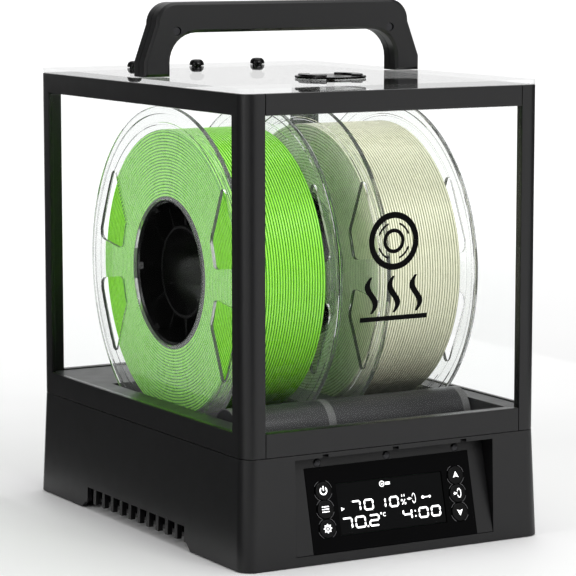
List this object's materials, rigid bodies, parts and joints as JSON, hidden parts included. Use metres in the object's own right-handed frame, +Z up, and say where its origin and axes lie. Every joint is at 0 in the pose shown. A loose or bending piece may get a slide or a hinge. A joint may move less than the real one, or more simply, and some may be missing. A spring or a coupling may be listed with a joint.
{
  "type": "filament dryer box",
  "caption": "Heated filament dryer with a lift-off clear cover, carrying handle, tilted display panel and spools lying on driven rollers.",
  "frame": {"origin": "centre of the box's footprint, on the surface that the feet stand on", "axes": "+Z up, the display on the -Y side, +X to the right of someone reading the display"},
  "size_m": [0.2026, 0.2726, 0.315],
  "materials": {
    "body_black": "satin moulded, fine grain",
    "deck_black": "glossy",
    "panel_black": "high gloss",
    "lit_white": "glowing segments and signs",
    "lcd_black": "smooth, lit digits",
    "key_black": "semi gloss",
    "roller_black": "glossy",
    "fan_black": "matt",
    "hub_black": "satin",
    "foot_rubber": "matt",
    "white_nylon": "satin",
    "board_green": "solder mask",
    "steel": "bright",
    "black_steel": "black oxide",
    "heater_aluminium": "as extruded",
    "clear_acrylic": "clear, polished",
    "clear_flange": "clear, moulded",
    "filament_green": "satin filament",
    "filament_cream": "satin filament"
  },
  "bodies": {
    "base": {"base_housing": "body_black", "bottom_plate": "body_black", "deck_tray": "deck_black", "display_bezel": "body_black", "display_panel": "panel_black", "lcd_screen": "lcd_black", "display_screw_left": "black_steel", "display_screw_centre": "black_steel", "display_screw_right": "black_steel", "control_board": "board_green", "fan_frame": "fan_black", "heater_core": "heater_aluminium", "drive_motor": "steel", "bush_front_left": "white_nylon", "bush_front_right": "white_nylon", "bush_rear_left": "white_nylon", "bush_rear_right": "white_nylon", "foot_front_left": "foot_rubber", "foot_front_right": "foot_rubber", "foot_rear_left": "foot_rubber", "foot_rear_right": "foot_rubber", "power_inlet": "fan_black"},
    "cover": {"frame_left": "body_black", "frame_right": "body_black", "rail_front_top": "body_black", "rail_front_bottom": "body_black", "rail_back_top": "body_black", "rail_back_bottom": "body_black", "window_left": "clear_acrylic", "window_right": "clear_acrylic", "window_front": "clear_acrylic", "window_back": "clear_acrylic", "top_plate": "clear_acrylic", "handle_front": "body_black", "handle_back": "body_black", "handle_screw_left": "black_steel", "handle_screw_right": "black_steel", "outlet_left": "body_black", "outlet_centre": "body_black", "outlet_right": "body_black"},
    "vent_dial": {"vent_dial": "body_black"},
    "spool_left": {"spool_left_flange_outer": "clear_flange", "spool_left_flange_inner": "clear_flange", "spool_left_hub": "hub_black", "spool_left_filament": "filament_green"},
    "spool_right": {"spool_right_flange_outer": "clear_flange", "spool_right_flange_inner": "clear_flange", "spool_right_hub": "hub_black", "spool_right_filament": "filament_cream"},
    "front_roller": {"front_roller": "roller_black", "roller_gear": "white_nylon"},
    "rear_roller": {"rear_roller": "roller_black"},
    "motor_gear": {"motor_gear": "white_nylon"},
    "fan_rotor": {"fan_rotor": "fan_black"},
    "key_power": {"key_power": "key_black"},
    "key_menu": {"key_menu": "key_black"},
    "key_settings": {"key_settings": "key_black"},
    "key_up": {"key_up": "key_black"},
    "key_rotate": {"key_rotate": "key_black"},
    "key_down": {"key_down": "key_black"}
  },
  "joints": [
    {"name": "cover_lift", "type": "slide", "parent": "base", "child": "cover", "axis": [0, 0, 1], "range_m": [0, 0.2]},
    {"name": "vent_turn", "type": "hinge", "parent": "cover", "child": "vent_dial", "pos_m": [0, -0.06, 0.272], "axis": [0, 0, 1], "range_deg": [0, 45]},
    {"name": "spool_left_spin", "type": "hinge", "parent": "base", "child": "spool_left", "pos_m": [-0.047, 0, 0.1537], "axis": [1, 0, 0], "continuous": true},
    {"name": "spool_right_spin", "type": "hinge", "parent": "base", "child": "spool_right", "pos_m": [0.047, 0, 0.1537], "axis": [1, 0, 0], "continuous": true},
    {"name": "front_roller_spin", "type": "hinge", "parent": "base", "child": "front_roller", "pos_m": [0, -0.077, 0.0683], "axis": [1, 0, 0], "continuous": true},
    {"name": "rear_roller_spin", "type": "hinge", "parent": "base", "child": "rear_roller", "pos_m": [0, 0.06, 0.0639], "axis": [1, 0, 0], "continuous": true},
    {"name": "motor_gear_spin", "type": "hinge", "parent": "base", "child": "motor_gear", "pos_m": [0.087, -0.077, 0.0507], "axis": [1, 0, 0], "continuous": true},
    {"name": "fan_spin", "type": "hinge", "parent": "base", "child": "fan_rotor", "pos_m": [0, 0.094, 0.028], "axis": [0, 0, 1], "continuous": true},
    {"name": "key_power_press", "type": "slide", "parent": "base", "child": "key_power", "axis": [0, 0.9715, -0.2368], "range_m": [0, 0.0008], "stiffness_N_per_m": 300},
    {"name": "key_menu_press", "type": "slide", "parent": "base", "child": "key_menu", "axis": [0, 0.9715, -0.2368], "range_m": [0, 0.0008], "stiffness_N_per_m": 300},
    {"name": "key_settings_press", "type": "slide", "parent": "base", "child": "key_settings", "axis": [0, 0.9715, -0.2368], "range_m": [0, 0.0008], "stiffness_N_per_m": 300},
    {"name": "key_up_press", "type": "slide", "parent": "base", "child": "key_up", "axis": [0, 0.9715, -0.2368], "range_m": [0, 0.0008], "stiffness_N_per_m": 300},
    {"name": "key_rotate_press", "type": "slide", "parent": "base", "child": "key_rotate", "axis": [0, 0.9715, -0.2368], "range_m": [0, 0.0008], "stiffness_N_per_m": 300},
    {"name": "key_down_press", "type": "slide", "parent": "base", "child": "key_down", "axis": [0, 0.9715, -0.2368], "range_m": [0, 0.0008], "stiffness_N_per_m": 300}
  ],
  "couplings": [
    {"joint": "spool_right_spin", "follows": "spool_left_spin", "ratio": 1},
    {"joint": "front_roller_spin", "follows": "spool_left_spin", "ratio": -6.6667},
    {"joint": "rear_roller_spin", "follows": "spool_left_spin", "ratio": -12.5},
    {"joint": "motor_gear_spin", "follows": "spool_left_spin", "ratio": 3.1111}
  ]
}
